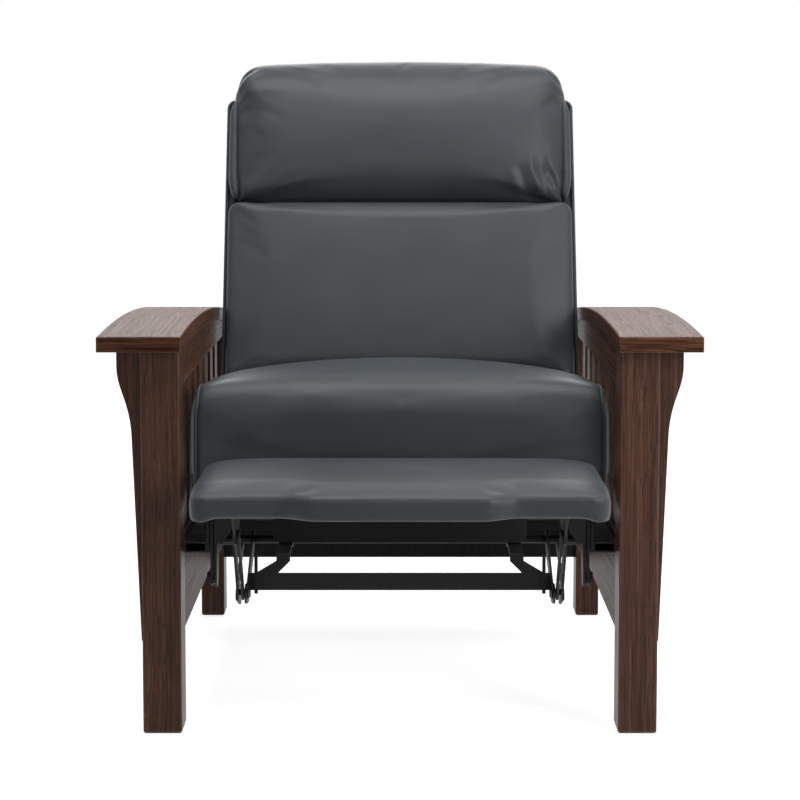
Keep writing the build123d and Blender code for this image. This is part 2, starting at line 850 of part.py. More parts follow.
with BuildPart() as seat_cushion:
    pad_loft(seat_outline, pad_stations(seat_half, seat_end_round, seat_shares), Plane.YZ.offset)
finish(seat_cushion, "seat_cushion")

# The back leans on its own planes: one across it, facing forward, and one along its side.
# Both start at the recline pivot, which is fixed to the frame's hanger plates.
lean = radians(back_tilt)
back_origin = Vector(0, *recline_pivot)
back_up = Vector(0, sin(lean), cos(lean))
back_forward = Vector(0, -cos(lean), sin(lean))


def back_side(x):
    """The side plane of the back at x, with (up, forward) coordinates."""
    return Plane(back_origin + Vector(x, 0, 0), x_dir=back_up, z_dir=(1, 0, 0))


def back_point(up, forward):
    """A place on the back's side plane, as (Y, Z)."""
    place = back_origin + back_up * up + back_forward * forward
    return (place.Y, place.Z)


def back_block(x_0, x_1, up_0, up_1, forward_0, forward_1):
    with BuildSketch(back_side(x_0)) as block:
        with Locations(((up_0 + up_1) / 2, (forward_0 + forward_1) / 2)):
            Rectangle(up_1 - up_0, forward_1 - forward_0)
    extrude(block.sketch, amount=x_1 - x_0)


# Back frame: two stiles on the brackets' inner faces, with rails between them
stile_width = 24.0
stile_bottom = -45.0
stile_top = 505.0
stile_front = -12.0
stile_rear = -40.0
stile_inner = swing_inner - stile_width
stile_middle = (stile_front + stile_rear) / 2
frame_rail_height = 45.0
lower_rail_up = -42.0
bracket_start = 14.0
bracket_reach = 150.0
bracket_points = [back_point(up, stile_middle) for up in (bracket_start, bracket_reach)]
with BuildPart() as back_stile:
    back_block(stile_inner, swing_inner, stile_bottom, stile_top, stile_rear, stile_front)
finish_pair(back_stile, "back_stile")

with BuildPart() as back_top_rail:
    top_rail_up = stile_top - frame_rail_height
    back_block(-stile_inner, stile_inner, top_rail_up, stile_top, stile_rear, stile_front)
finish(back_top_rail, "back_top_rail")

with BuildPart() as back_lower_rail:
    lower_rail_end = lower_rail_up + frame_rail_height
    back_block(-stile_inner, stile_inner, lower_rail_up, lower_rail_end, stile_rear, stile_front)
finish(back_lower_rail, "back_lower_rail")

# Back bracket: screwed to the stile, carries the back on its riveted pin in the hanger
# plate and pulls the seat by its lower pin
bracket_pin_end = hanger_outer + pin_clearance
with BuildPart() as back_bracket:
    with BuildSketch(Plane.YZ.offset(swing_inner)):
        strap([seat_pivot, recline_pivot] + bracket_points, swing_half)
        pin_holes([seat_pivot], swing_pin_radius)
    extrude(amount=hanger_plate)
    pins([recline_pivot], swing_outer, bracket_pin_end, swing_pin_radius)
    hex_heads([recline_pivot], bracket_pin_end, bracket_pin_end + bolt_head_height, bolt_head_radius)
finish_pair(back_bracket, "back_bracket")

# Back webbing, in five cross straps on the stiles' front faces
back_strap_shares = (0.1, 0.3, 0.5, 0.7, 0.9)
with BuildPart() as back_webbing:
    for share in back_strap_shares:
        middle_up = stile_bottom + (stile_top - stile_bottom) * share
        back_block(
            -swing_inner, swing_inner, middle_up - webbing_width / 2,
            middle_up + webbing_width / 2, stile_front, stile_front + webbing_thickness,
        )
finish(back_webbing, "back_webbing")

# Padded wings on the brackets' outer faces, tapered towards the top, and the outside back
wing_front = stile_front + webbing_thickness
wing_rear_low = -96.0
wing_rear_high = -66.0
wing_corner = 14.0
outside_thickness = 8.0
outside_bottom = -60.0
wing_inner = swing_outer
wing_slope = (wing_rear_high - wing_rear_low) / (back_top - back_bottom)
outside_low = wing_rear_low + wing_slope * (outside_bottom - back_bottom)
with BuildPart() as back_wing:
    with BuildSketch(back_side(wing_inner)):
        with BuildLine():
            Polyline(
                (back_bottom, wing_front),
                (back_top, wing_front),
                (back_top, wing_rear_high),
                (back_bottom, wing_rear_low),
                close=True,
            )
        make_face()
    extrude(amount=back_half - wing_inner)
    outer_edges = back_wing.faces().sort_by(Axis.X)[-1].edges()
    fillet(outer_edges.sort_by(Axis.Z)[-1], radius=wing_corner)
finish_pair(back_wing, "back_wing")

with BuildPart() as outside_back:
    with BuildSketch(back_side(-back_half)):
        with BuildLine():
            Polyline(
                (outside_bottom, outside_low),
                (back_top, wing_rear_high),
                (back_top, wing_rear_high - outside_thickness),
                (outside_bottom, outside_low - outside_thickness),
                close=True,
            )
        make_face()
    extrude(amount=2 * back_half)
    across = outside_back.faces().sort_by(Axis.X)
    corners = [face.edges().sort_by(Axis.Z)[-1] for face in (across[0], across[-1])]
    fillet(corners, radius=wing_corner)
finish(outside_back, "outside_back")

# Lumbar cushion: crowned, its top edge rolled under the head pillow
pad_back = stile_front + webbing_thickness + seat_gap
lumbar_roll = 22.0
lumbar_foot = 16.0
lumbar_foot_roll = 30.0
lumbar_end_round = 18.0
lumbar_shares = (0.0,)


def lumbar_outline(x, inset):
    front = lumbar_depth - lumbar_crown - inset
    top = lumbar_top - inset
    foot = lumbar_bottom + inset
    belly = foot + lumbar_foot_roll
    bend = lumbar_roll * (1 - sqrt(0.5))
    return (
        ((foot, pad_back), (foot, pad_back + lumbar_foot)),
        (
            (foot, pad_back + lumbar_foot),
            (foot + bend, front - lumbar_roll / 2),
            (belly, front),
        ),
        ((belly, front), ((belly + top - lumbar_roll) / 2, front + lumbar_crown), (top - lumbar_roll, front)),
        ((top - lumbar_roll, front), (top - bend, front - bend), (top, front - lumbar_roll)),
        ((top, front - lumbar_roll), (top, pad_back)),
        ((top, pad_back), (foot, pad_back)),
    )


with BuildPart() as lumbar_cushion:
    pad_loft(lumbar_outline, pad_stations(lumbar_half, lumbar_end_round, lumbar_shares), back_side)
finish(lumbar_cushion, "lumbar_cushion")

# Head pillow: a thick bolster that hangs over the front and wraps over the top of the back
pillow_end_round = 30.0
pillow_shares = (0.0,)
pillow_lip = 24.0
pillow_seat = back_top + seat_gap
pillow_bottom = lumbar_top + seat_gap
pillow_round = 42.0


def pillow_outline(x, inset):
    foot = pillow_bottom + inset
    top = pillow_top - inset
    front = pillow_front - inset
    rear = -pillow_rear + inset
    shoulder = top - pillow_round
    lip = (foot + pillow_wrap, pad_back + pillow_lip - inset / 2)
    return (
        ((foot, pad_back), lip),
        (lip, ((foot + top) / 2, front), (shoulder, front - pillow_wrap)),
        (
            (shoulder, front - pillow_wrap),
            (top - pillow_wrap, front - pillow_round),
            (top, pad_back),
        ),
        ((top, pad_back), (top - pillow_wrap, rear + pillow_round), (shoulder, rear)),
        ((shoulder, rear), (pillow_seat, rear + pillow_wrap)),
        ((pillow_seat, rear + pillow_wrap), (pillow_seat, pad_back)),
        ((pillow_seat, pad_back), (foot, pad_back)),
    )


with BuildPart() as head_pillow:
    pad_loft(pillow_outline, pad_stations(pillow_half, pillow_end_round, pillow_shares), back_side)
finish(head_pillow, "head_pillow")
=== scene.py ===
import json
import math

import bmesh
import bpy
import numpy as np
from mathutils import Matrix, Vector


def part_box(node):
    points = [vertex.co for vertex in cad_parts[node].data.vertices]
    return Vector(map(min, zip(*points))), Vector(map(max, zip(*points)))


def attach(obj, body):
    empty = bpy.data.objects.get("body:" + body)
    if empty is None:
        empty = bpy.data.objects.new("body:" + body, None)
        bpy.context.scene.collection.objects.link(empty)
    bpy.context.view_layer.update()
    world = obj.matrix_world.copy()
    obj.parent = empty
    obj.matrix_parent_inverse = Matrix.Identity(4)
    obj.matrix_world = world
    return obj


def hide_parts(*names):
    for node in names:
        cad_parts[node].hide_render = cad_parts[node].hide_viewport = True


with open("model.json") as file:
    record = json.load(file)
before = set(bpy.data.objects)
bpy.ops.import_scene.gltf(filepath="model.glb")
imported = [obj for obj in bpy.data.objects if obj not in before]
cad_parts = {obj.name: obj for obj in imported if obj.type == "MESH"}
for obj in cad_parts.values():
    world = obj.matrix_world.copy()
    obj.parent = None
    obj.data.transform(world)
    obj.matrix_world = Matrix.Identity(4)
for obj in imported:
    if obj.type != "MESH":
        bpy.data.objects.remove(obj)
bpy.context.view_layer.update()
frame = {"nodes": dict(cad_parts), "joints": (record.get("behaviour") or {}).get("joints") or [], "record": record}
nodes = frame["nodes"]


# The view: a long lens some three metres in front of the legs, at the height of a seated
# person's eyes. It looks down a little, and a small shift keeps the uprights near upright.
def set_camera():
    focal_share = 2037.6 / 800
    eye_height = 0.889
    distance = 2.916
    pitch = math.radians(4.6)
    lens = bpy.data.cameras.new("view")
    lens.sensor_width = 36.0
    lens.lens = lens.sensor_width * focal_share
    lens.shift_y = -0.139
    camera = bpy.data.objects.new("view", lens)
    camera.location = (0.0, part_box("front_leg_right")[0].y - distance, eye_height)
    camera.rotation_euler = (math.pi / 2 - pitch, 0.0, 0.0)
    bpy.context.scene.collection.objects.link(camera)
    bpy.context.scene.camera = camera


set_camera()
bpy.context.scene.view_settings.view_transform = "Standard"


# The studio: broad soft lights overhead and behind, one from the right and a weak one from
# the left, over a white floor that runs out to a white room and keeps the chair's faint shadow.
def add(tree, kind, settings=None, inputs=None):
    """Adds a shader node. Each input is a plain value or another node's output socket."""
    made = tree.nodes.new(kind)
    for name, value in (settings or {}).items():
        setattr(made, name, value)
    for name, value in (inputs or {}).items():
        if isinstance(value, bpy.types.NodeSocket):
            tree.links.new(value, made.inputs[name])
        else:
            made.inputs[name].default_value = value
    return made


def soft_box(name, place, aim, size, power):
    """A rectangular lamp at a place, turned to face its aim."""
    lamp = bpy.data.lights.new(name, "AREA")
    lamp.shape = "RECTANGLE"
    lamp.size, lamp.size_y = size
    lamp.energy = power
    box = bpy.data.objects.new(name, lamp)
    box.location = place
    box.rotation_mode = "QUATERNION"
    box.rotation_quaternion = (Vector(aim) - Vector(place)).to_track_quat("-Z", "Y")
    bpy.context.scene.collection.objects.link(box)


soft_box("top_light", (0.0, -0.4, 2.8), (0, 0, 0.5), (2.4, 1.4), 68)
soft_box("key_light", (1.65, -1.45, 1.2), (0.25, 0, 0.5), (1.0, 1.4), 33)
soft_box("fill_light", (-2.8, -2.2, 1.6), (0, 0, 0.5), (2.0, 2.0), 5)
soft_box("rear_light", (0.0, 2.6, 2.0), (0, 0.2, 0.5), (2.4, 1.4), 32)


def seen_plainly(tree):
    """A mask that is 1 for what the camera sees, straight, in a gloss or through glass."""
    path = add(tree, "ShaderNodeLightPath")
    seen = path.outputs["Is Camera Ray"]
    for ray in ("Is Glossy Ray", "Is Transmission Ray"):
        seen = add(
            tree, "ShaderNodeMath", {"operation": "MAXIMUM"}, {0: seen, 1: path.outputs[ray]}
        ).outputs[0]
    return seen


def white_room():
    """A world of plain light that shows white, and a floor whose glow and lit colour together
    reach white outside the shadow."""
    world = bpy.data.worlds.new("room")
    world.use_nodes = True
    bpy.context.scene.world = world
    tree = world.node_tree
    tree.nodes.clear()
    plain = add(tree, "ShaderNodeBackground", None, {"Color": (1, 1, 1, 1), "Strength": 0.06})
    white = add(tree, "ShaderNodeBackground", None, {"Color": (1, 1, 1, 1), "Strength": 1.0})
    mix = add(
        tree, "ShaderNodeMixShader", None,
        {0: seen_plainly(tree), 1: plain.outputs[0], 2: white.outputs[0]},
    )
    add(tree, "ShaderNodeOutputWorld", None, {"Surface": mix.outputs[0]})

    reach = 14.0
    mesh = bpy.data.meshes.new("floor")
    corners = [(-reach, -reach, 0), (reach, -reach, 0), (reach, reach, 0), (-reach, reach, 0)]
    mesh.from_pydata(corners, [], [(0, 1, 2, 3)])
    floor = bpy.data.objects.new("floor", mesh)
    bpy.context.scene.collection.objects.link(floor)
    material = bpy.data.materials.new("white_floor")
    material.use_nodes = True
    tree = material.node_tree
    tree.nodes.clear()
    dull = add(tree, "ShaderNodeBsdfDiffuse", None, {"Color": (0.5, 0.5, 0.5, 1)})
    faint = add(tree, "ShaderNodeBsdfDiffuse", None, {"Color": (0.5, 0.5, 0.5, 1)})
    place = add(tree, "ShaderNodeTexCoord").outputs["Object"]
    away = add(tree, "ShaderNodeVectorMath", {"operation": "LENGTH"}, {0: place}).outputs["Value"]
    strength = add(
        tree, "ShaderNodeMapRange", None,
        {"Value": away, "From Min": 0.7, "From Max": 2.6, "To Min": 0.88, "To Max": 1.0},
    ).outputs["Result"]
    glow = add(tree, "ShaderNodeEmission", None, {"Color": (1, 1, 1, 1), "Strength": strength})
    lit = add(tree, "ShaderNodeAddShader", None, {0: faint.outputs[0], 1: glow.outputs[0]})
    mix = add(
        tree, "ShaderNodeMixShader", None,
        {0: seen_plainly(tree), 1: dull.outputs[0], 2: lit.outputs[0]},
    )
    add(tree, "ShaderNodeOutputMaterial", None, {"Surface": mix.outputs[0]})
    mesh.materials.append(material)


white_room()


# Oak side frames: arms, legs, slats, rails and corbels, stained dark red brown under a satin
# lacquer. The grain runs along each piece, and a lighter tan is painted in patches on its edges as a painted
# highlight.
def new_group(name, inputs, outputs):
    """A node group with named sockets, and its input and output nodes."""
    group = bpy.data.node_groups.new(name, "ShaderNodeTree")
    for socket, kind, value in inputs:
        made = group.interface.new_socket(socket, in_out="INPUT", socket_type=kind)
        if value is not None:
            made.default_value = value
    for socket, kind in outputs:
        group.interface.new_socket(socket, in_out="OUTPUT", socket_type=kind)
    return group, group.nodes.new("NodeGroupInput"), group.nodes.new("NodeGroupOutput")


def ramp(tree, factor, stops):
    """A colour ramp through (place, colour) stops."""
    made = add(tree, "ShaderNodeValToRGB", None, {"Fac": factor})
    elements = made.color_ramp.elements
    while len(elements) < len(stops):
        elements.new(0.5)
    for element, (place, colour) in zip(elements, stops):
        element.position = place
        element.color = (*colour, 1.0)
    return made.outputs["Color"]


def remap(tree, value, low, high, to_low, to_high):
    """A value's run from low to high, laid over another run."""
    return add(
        tree, "ShaderNodeMapRange", None,
        {"Value": value, "From Min": low, "From Max": high, "To Min": to_low, "To Max": to_high},
    ).outputs["Result"]


def mixed(tree, factor, a, b, blend="MIX"):
    """A colour mix of a and b."""
    return add(
        tree, "ShaderNodeMix", {"data_type": "RGBA", "blend_type": blend}, {0: factor, 6: a, 7: b}
    ).outputs[2]


def edge_group():
    """A mask for the painted edge highlight: up to 1 in patches where the surface turns sharply within the radius,
    and 0 on its flats.
    """
    group, given, made = new_group(
        "edge_highlight",
        [("Radius", "NodeSocketFloat", 0.002)],
        [("Mask", "NodeSocketFloat")],
    )
    rounded = add(group, "ShaderNodeBevel", {"samples": 4}, {"Radius": given.outputs["Radius"]})
    geometry = add(group, "ShaderNodeNewGeometry")
    agree = add(
        group, "ShaderNodeVectorMath", {"operation": "DOT_PRODUCT"},
        {0: rounded.outputs["Normal"], 1: geometry.outputs["Normal"]},
    )
    turned = remap(group, agree.outputs["Value"], 0.998, 0.90, 0.0, 1.0)
    place = add(group, "ShaderNodeTexCoord").outputs["Object"]
    patches = add(
        group, "ShaderNodeTexNoise", None, {"Vector": place, "Scale": 30.0, "Detail": 3.0}
    )
    highlight_patches = remap(group, patches.outputs["Fac"], 0.3, 0.65, 0.35, 1.0)
    mask = add(group, "ShaderNodeMath", {"operation": "MULTIPLY"}, {0: turned, 1: highlight_patches})
    group.links.new(mask.outputs[0], made.inputs["Mask"])
    return group


def oak_group():
    """Straight oak grain along the vector's Z: broad bands, a slow waver, fine lines a
    millimetre or two apart, and short dark pores."""
    group, given, made = new_group(
        "oak_grain",
        [("Vector", "NodeSocketVector", None)],
        [
            ("Color", "NodeSocketColor"),
            ("Roughness", "NodeSocketFloat"),
            ("Height", "NodeSocketFloat"),
        ],
    )
    waver = add(
        group, "ShaderNodeTexNoise", None,
        {"Vector": given.outputs["Vector"], "Scale": 7.0, "Detail": 1.0},
    )
    swayed = add(
        group, "ShaderNodeVectorMath", {"operation": "MULTIPLY_ADD"},
        {0: waver.outputs["Color"], 1: (0.010, 0.010, 0.0), 2: given.outputs["Vector"]},
    ).outputs[0]

    def streaks(across, along, detail):
        stretched = add(
            group, "ShaderNodeMapping", None, {"Vector": swayed, "Scale": (across, across, along)}
        )
        return add(
            group, "ShaderNodeTexNoise", None,
            {"Vector": stretched.outputs[0], "Scale": 1.0, "Detail": detail, "Roughness": 0.6},
        ).outputs["Fac"]

    bands = streaks(70.0, 1.2, 2.0)
    lines = streaks(420.0, 3.0, 3.0)
    pores = streaks(1100.0, 20.0, 1.0)
    colour = ramp(
        group, bands,
        [
            (0.30, (0.046, 0.0185, 0.0105)),
            (0.50, (0.078, 0.033, 0.0195)),
            (0.72, (0.120, 0.056, 0.034)),
        ],
    )
    fine = ramp(
        group, lines,
        [(0.34, (0.40, 0.36, 0.34)), (0.50, (0.92, 0.92, 0.92)), (0.68, (1.55, 1.5, 1.45))],
    )
    colour = mixed(group, 0.95, colour, fine, "MULTIPLY")
    pore = remap(group, pores, 0.37, 0.31, 0.0, 1.0)
    pore_brown = (0.010, 0.005, 0.004, 1)
    colour = mixed(group, pore, colour, pore_brown)
    group.links.new(colour, made.inputs["Color"])
    group.links.new(remap(group, lines, 0.3, 0.7, 0.42, 0.33), made.inputs["Roughness"])
    depth = add(
        group, "ShaderNodeMath", {"operation": "MULTIPLY_ADD"}, {0: pore, 1: -0.7, 2: lines}
    )
    group.links.new(depth.outputs[0], made.inputs["Height"])
    return group


EDGE_HIGHLIGHT = edge_group()
OAK = oak_group()


def new_finish(name):
    """A material with its tree, its Principled shader and the piece's own coordinates."""
    material = bpy.data.materials.new(name)
    material.use_nodes = True
    tree = material.node_tree
    place = add(tree, "ShaderNodeTexCoord").outputs["Object"]
    return material, tree, tree.nodes["Principled BSDF"], place


def raise_grain(tree, shader, height, strength, distance):
    """Tilts the shader's normal by the slope of a height."""
    bump = add(
        tree, "ShaderNodeBump", None,
        {"Height": height, "Strength": strength, "Distance": distance},
    )
    tree.links.new(bump.outputs[0], shader.inputs["Normal"])


def stained_oak(name, turn, gloss, end_turn=None):
    """Oak whose grain follows Z after the turn. Where end_turn is given, it turns the front end."""
    material, tree, shader, place = new_finish(name)
    vector = add(tree, "ShaderNodeMapping", None, {"Vector": place, "Rotation": turn}).outputs[0]
    if end_turn is not None:
        ends = add(
            tree, "ShaderNodeMapping", None, {"Vector": place, "Rotation": end_turn}
        ).outputs[0]
        normal = add(tree, "ShaderNodeNewGeometry").outputs["True Normal"]
        facing = add(tree, "ShaderNodeSeparateXYZ", None, {0: normal}).outputs["Y"]
        front = remap(tree, facing, -0.7, -0.8, 0.0, 1.0)
        vector = add(
            tree, "ShaderNodeMix", {"data_type": "VECTOR"}, {0: front, 4: vector, 5: ends}
        ).outputs[1]
    grain = add(tree, "ShaderNodeGroup", {"node_tree": OAK}, {"Vector": vector})
    highlight_patches = add(tree, "ShaderNodeGroup", {"node_tree": EDGE_HIGHLIGHT}, {"Radius": 0.0016})
    share = add(tree, "ShaderNodeMath", {"operation": "MULTIPLY"}, {0: highlight_patches.outputs[0], 1: 0.8})
    # Painted highlight: a lighter tan laid in patches along the edges, standing in for light caught on the
    # lacquer.
    painted_highlight_tan = (0.30, 0.20, 0.155, 1)
    colour = mixed(tree, share.outputs[0], grain.outputs["Color"], painted_highlight_tan)
    tree.links.new(colour, shader.inputs["Base Color"])
    tree.links.new(grain.outputs["Roughness"], shader.inputs["Roughness"])
    shader.inputs["Specular IOR Level"].default_value = gloss
    raise_grain(tree, shader, grain.outputs["Height"], 0.25, 0.0005)
    return material


def dress(material, *names):
    """Gives CAD nodes a material in their own slots."""
    for name in names:
        for slot in nodes[name].material_slots:
            slot.material = material


quarter = math.pi / 2
SIDES = (("left", -1), ("right", 1))
upright_oak = stained_oak("upright_oak", (0.0, 0.0, 0.0), 0.16)
long_oak = stained_oak("long_oak", (quarter, 0.0, 0.0), 0.02)
slat_oak = stained_oak("slat_oak", (0.0, 0.0, 0.0), 0.04)
arm_oak = stained_oak("arm_oak", (quarter, 0.0, 0.0), 0.04, end_turn=(0.0, quarter, 0.0))
for side, _ in SIDES:
    dress(upright_oak, *(f"{piece}_{side}" for piece in ("front_leg", "back_leg", "corbel")))
    dress(slat_oak, f"slats_{side}")
    dress(long_oak, f"lower_side_rail_{side}", f"upper_side_rail_{side}")
    dress(arm_oak, f"arm_{side}")


# Steelwork: base rails, links, pins, brackets and crossbar, pressed steel under a thin black
# paint, with a painted highlight of lighter grey along the edges. The glides are moulded in black plastic, their
# painted edge highlight fainter.
def painted(name, colour, roughness, highlight_amount):
    """A mottled paint with a painted highlight of lighter grey along its edges, by the highlight amount."""
    material, tree, shader, place = new_finish(name)
    mottle = add(tree, "ShaderNodeTexNoise", None, {"Vector": place, "Scale": 40.0, "Detail": 5.0})
    film = ramp(
        tree, mottle.outputs["Fac"],
        [(0.3, tuple(c * 0.75 for c in colour)), (0.7, tuple(c * 1.3 for c in colour))],
    )
    highlight_patches = add(tree, "ShaderNodeGroup", {"node_tree": EDGE_HIGHLIGHT}, {"Radius": 0.0012})
    share = add(tree, "ShaderNodeMath", {"operation": "MULTIPLY"}, {0: highlight_patches.outputs[0], 1: highlight_amount})
    # Painted highlight: a lighter grey laid along the edges, strong on the steel and faint on the glides.
    painted_highlight_grey = (0.13, 0.13, 0.13, 1)
    tree.links.new(mixed(tree, share.outputs[0], film, painted_highlight_grey), shader.inputs["Base Color"])
    tree.links.new(
        remap(tree, mottle.outputs["Fac"], 0.3, 0.7, roughness - 0.06, roughness + 0.06),
        shader.inputs["Roughness"],
    )
    shader.inputs["Specular IOR Level"].default_value = 0.15
    speckle = add(
        tree, "ShaderNodeTexNoise", None, {"Vector": place, "Scale": 900.0, "Detail": 1.0}
    )
    raise_grain(tree, shader, speckle.outputs["Fac"], 0.12, 0.0003)
    return material


black_steel = painted("black_steel", (0.011, 0.011, 0.0105), 0.45, 0.5)
glide_plastic = painted("glide_plastic", (0.02, 0.02, 0.02), 0.5, 0.1)


# Boards and straps: the seat frame's boards are covered in black cloth, the rear rail is painted
# near black as painted shade for the shadow under the seat, and the elastic webbing that carries the cushions is a
# plain black weave.
def woven_black(name, colour, threads):
    """Plain weave: two crossed waves of threads, in the sheet's own plane."""
    material, tree, shader, place = new_finish(name)
    heights = []
    for direction in ("X", "DIAGONAL"):
        wave = add(
            tree, "ShaderNodeTexWave", {"bands_direction": direction},
            {"Vector": place, "Scale": threads, "Distortion": 0.4},
        )
        heights.append(wave.outputs["Fac"])
    weave = add(
        tree, "ShaderNodeMath", {"operation": "MAXIMUM"}, {0: heights[0], 1: heights[1]}
    ).outputs[0]
    cloth = ramp(
        tree, weave, [(0.2, tuple(c * 0.6 for c in colour)), (0.9, tuple(c * 1.3 for c in colour))]
    )
    tree.links.new(cloth, shader.inputs["Base Color"])
    shader.inputs["Roughness"].default_value = 0.85
    shader.inputs["Specular IOR Level"].default_value = 0.15
    raise_grain(tree, shader, weave, 0.4, 0.0004)
    return material


def plain_wood(name, dark, light, roughness):
    """Sawn wood: slow rings stretched along Z."""
    material, tree, shader, place = new_finish(name)
    along = add(
        tree, "ShaderNodeMapping", None, {"Vector": place, "Scale": (120.0, 120.0, 6.0)}
    ).outputs[0]
    rings = add(
        tree, "ShaderNodeTexNoise", None, {"Vector": along, "Scale": 1.0, "Detail": 4.0}
    ).outputs["Fac"]
    tree.links.new(ramp(tree, rings, [(0.3, dark), (0.7, light)]), shader.inputs["Base Color"])
    shader.inputs["Roughness"].default_value = roughness
    shader.inputs["Specular IOR Level"].default_value = 0.15
    raise_grain(tree, shader, rings, 0.3, 0.0008)
    return material


slot_finish = {
    "steel": black_steel,
    "glide_plastic": glide_plastic,
    "black_board": woven_black("board_cloth", (0.0165, 0.0165, 0.0165), 160.0),
    "webbing": woven_black("webbing_weave", (0.018, 0.018, 0.018), 90.0),
    "frame_wood": plain_wood("sawn_pine", (0.30, 0.19, 0.10), (0.52, 0.38, 0.23), 0.75),
}
for part in frame["record"]["subparts"]:
    if part["material_slot"] in slot_finish:
        dress(slot_finish[part["material_slot"]], part["node"])
# Painted shade: the rear rail is coloured near black for the shadow it sits in under the seat.
shade_black_wood = plain_wood("rail_painted_shade_black", (0.009, 0.009, 0.009), (0.017, 0.016, 0.016), 0.6)
dress(shade_black_wood, "rear_cross_rail")


# Small fasteners of the steelwork: pan heads with a little dome on the bolts that hold the
# seat rails, on the base rails' screws and under the footrest board's flanges.
def closed_piece(name, points, faces, material, body, weld=False):
    """A smooth closed piece with its faces turned outwards, riding on a body. A welded one
    has its double points merged first."""
    mesh = bpy.data.meshes.new(name)
    mesh.from_pydata(points.tolist(), [], faces)
    shell = bmesh.new()
    shell.from_mesh(mesh)
    if weld:
        bmesh.ops.remove_doubles(shell, verts=shell.verts, dist=1e-6)
        bmesh.ops.dissolve_degenerate(shell, edges=shell.edges, dist=1e-6)
    bmesh.ops.recalc_face_normals(shell, faces=shell.faces)
    shell.to_mesh(mesh)
    shell.free()
    mesh.shade_smooth()
    mesh.materials.append(material)
    piece = bpy.data.objects.new(name, mesh)
    bpy.context.scene.collection.objects.link(piece)
    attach(piece, body)
    return piece


def quad_grid(m, n):
    """The four corners of each face between m rings of n points, every ring closed."""
    i, j = np.meshgrid(np.arange(m - 1), np.arange(n), indexing="ij")
    after = (j + 1) % n
    corners = [i * n + j, i * n + after, (i + 1) * n + after, (i + 1) * n + j]
    return np.stack(corners, -1).reshape(-1, 4)


def pan_heads(name, places, direction, radius, height, body):
    """Heads at the places, each a dome carried round its axis: the radius follows a cosine and
    the height a sine from the rim to the pole, over a short straight skirt."""
    direction = np.array(direction, float)
    first = np.cross(direction, [0.0, 0.6, 0.8])
    first /= np.linalg.norm(first)
    second = np.cross(direction, first)
    turn = np.linspace(0, 2 * math.pi, 12, endpoint=False)
    rise = np.array([0.0, 0.0, 0.45, 0.80, 0.97, 1.0]) * height
    wide = np.array([0.0, 1.0, 1.0, 0.78, 0.40, 0.0]) * radius
    ring = np.cos(turn)[:, None] * first + np.sin(turn)[:, None] * second
    head = rise[:, None, None] * direction + wide[:, None, None] * ring[None]
    m, n = head.shape[:2]
    quads = quad_grid(m, n)
    points = np.concatenate([head.reshape(-1, 3) + np.array(place) for place in places])
    faces = np.concatenate([quads + k * m * n for k in range(len(places))])
    closed_piece(name, points, faces.tolist(), black_steel, body, weld=True)


legs_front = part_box("front_leg_right")[0].y
tube_low, tube_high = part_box("base_cross_tubes")
tube_middle = (tube_low.z + tube_high.z) / 2
plate_strip_x, plate_strip_z = 0.2715, 0.336
flange_x, flange_low = 0.243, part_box("footrest_board")[0].z - 0.003
seat_bolt_depths = (0.100, 0.200, 0.320, 0.440)
rail_screw_depths = (0.130, 0.320, 0.560, 0.660)
board_screw_depths = (-0.150, -0.090, -0.038)
for side, sign in SIDES:
    places = [(sign * plate_strip_x, legs_front + d, plate_strip_z) for d in seat_bolt_depths]
    pan_heads(f"seat_bolts_{side}", places, (-sign, 0, 0), 0.0065, 0.0032, "seat")
    places = [(sign * tube_high.x, legs_front + d, tube_middle) for d in rail_screw_depths]
    pan_heads(f"rail_screws_{side}", places, (-sign, 0, 0), 0.0055, 0.003, "frame")
    places = [(sign * flange_x, legs_front + d, flange_low) for d in board_screw_depths]
    pan_heads(f"board_screws_{side}", places, (0, 0, -1), 0.005, 0.0026, "footrest")


# Leather: smooth dyed hide in a dark blue grey, with a fine pebble, faint mottling and
# a soft sheen. The same hide covers the seat, the back, the head pillow and the footrest.
def hide_group():
    """Fine pebbled grain with creases between the cells, over slow changes of tone."""
    group, given, made = new_group(
        "hide_grain",
        [("Vector", "NodeSocketVector", None), ("Cells", "NodeSocketFloat", 900.0)],
        [("Tone", "NodeSocketFloat"), ("Height", "NodeSocketFloat")],
    )
    where = given.outputs["Vector"]
    cells = add(
        group, "ShaderNodeTexVoronoi", {"feature": "SMOOTH_F1"},
        {"Vector": where, "Scale": given.outputs["Cells"], "Smoothness": 0.6},
    )
    slow = add(group, "ShaderNodeTexNoise", None, {"Vector": where, "Scale": 7.0, "Detail": 4.0})
    soft = add(group, "ShaderNodeTexNoise", None, {"Vector": where, "Scale": 45.0, "Detail": 3.0})
    group.links.new(slow.outputs["Fac"], made.inputs["Tone"])
    raised = add(
        group, "ShaderNodeMath", {"operation": "MULTIPLY_ADD"},
        {0: cells.outputs["Distance"], 1: -0.55, 2: soft.outputs["Fac"]},
    )
    group.links.new(raised.outputs[0], made.inputs["Height"])
    return group


HIDE = hide_group()


def leather(name, colour, roughness):
    """Dyed hide, a little darker and glossier where the slow tone is low."""
    material, tree, shader, place = new_finish(name)
    grain = add(tree, "ShaderNodeGroup", {"node_tree": HIDE}, {"Vector": place, "Cells": 900.0})
    tone = grain.outputs["Tone"]
    dye = ramp(
        tree, tone,
        [(0.3, tuple(c * 0.88 for c in colour)), (0.7, tuple(c * 1.1 for c in colour))],
    )
    tree.links.new(dye, shader.inputs["Base Color"])
    tree.links.new(
        remap(tree, tone, 0.3, 0.7, roughness - 0.04, roughness + 0.05), shader.inputs["Roughness"]
    )
    shader.inputs["Specular IOR Level"].default_value = 0.2
    raise_grain(tree, shader, grain.outputs["Height"], 0.20, 0.0004)
    return material


